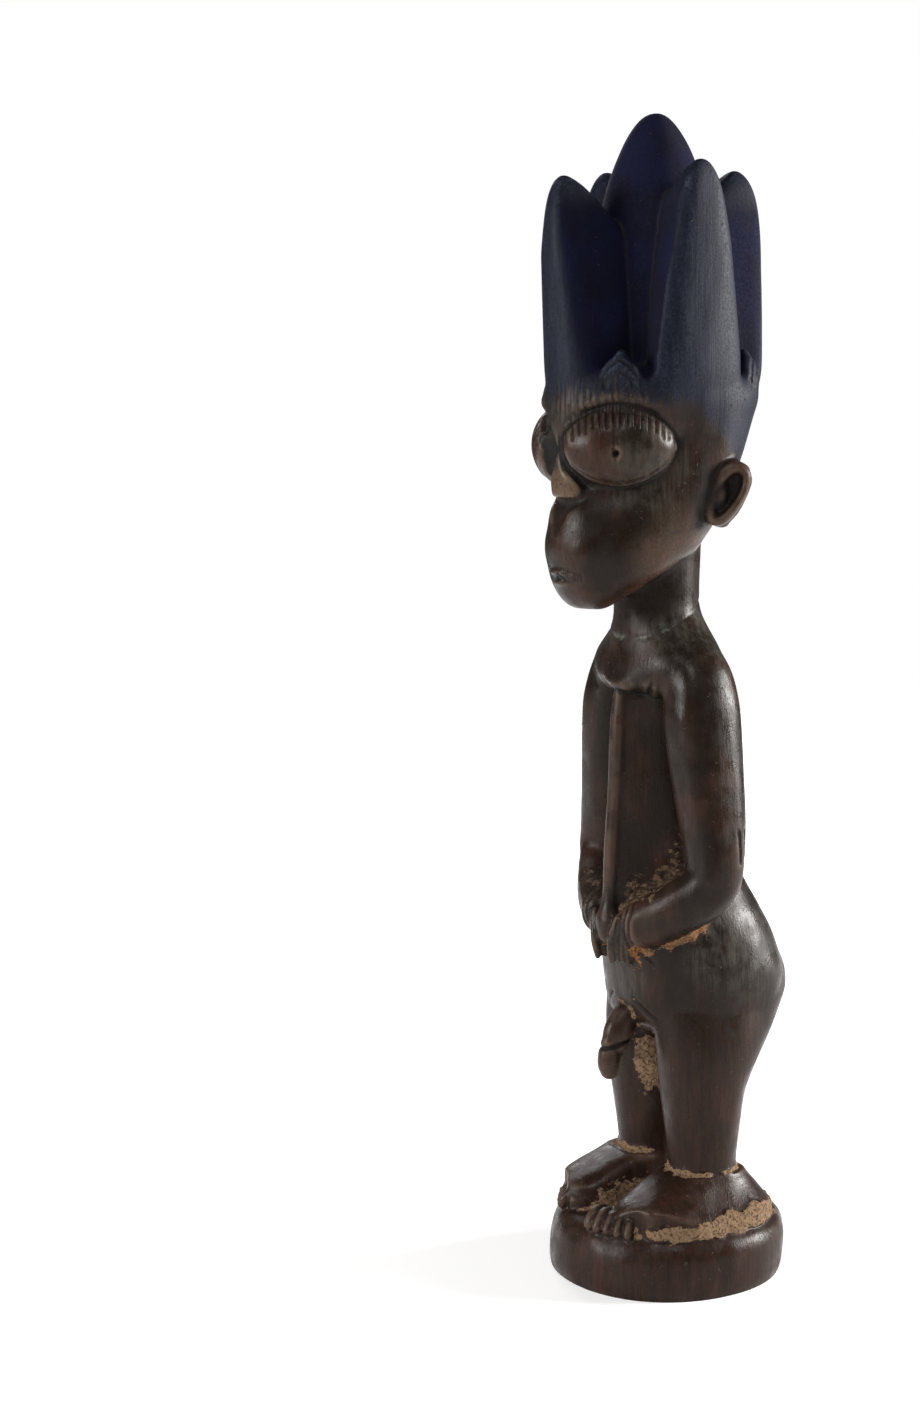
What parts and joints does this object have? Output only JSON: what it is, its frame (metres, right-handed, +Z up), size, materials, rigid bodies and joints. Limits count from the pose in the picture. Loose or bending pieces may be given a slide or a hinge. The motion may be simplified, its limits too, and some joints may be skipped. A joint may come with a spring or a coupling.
{
  "type": "carved twin figure",
  "caption": "Carved wooden standing male twin figure with a tall blue-dyed lobed hairdo, large eyes and hands on the belly, on a round base.",
  "frame": {"origin": "middle of the base's flat underside", "axes": "+Z up the figure, -Y the way its face looks, +X its own left side"},
  "size_m": [0.0588, 0.0621, 0.28],
  "materials": {
    "dark_wood": "dark rubbed patina, dyed blue at the hair"
  },
  "bodies": {
    "root": {"carved_figure": "dark_wood"}
  },
  "joints": []
}
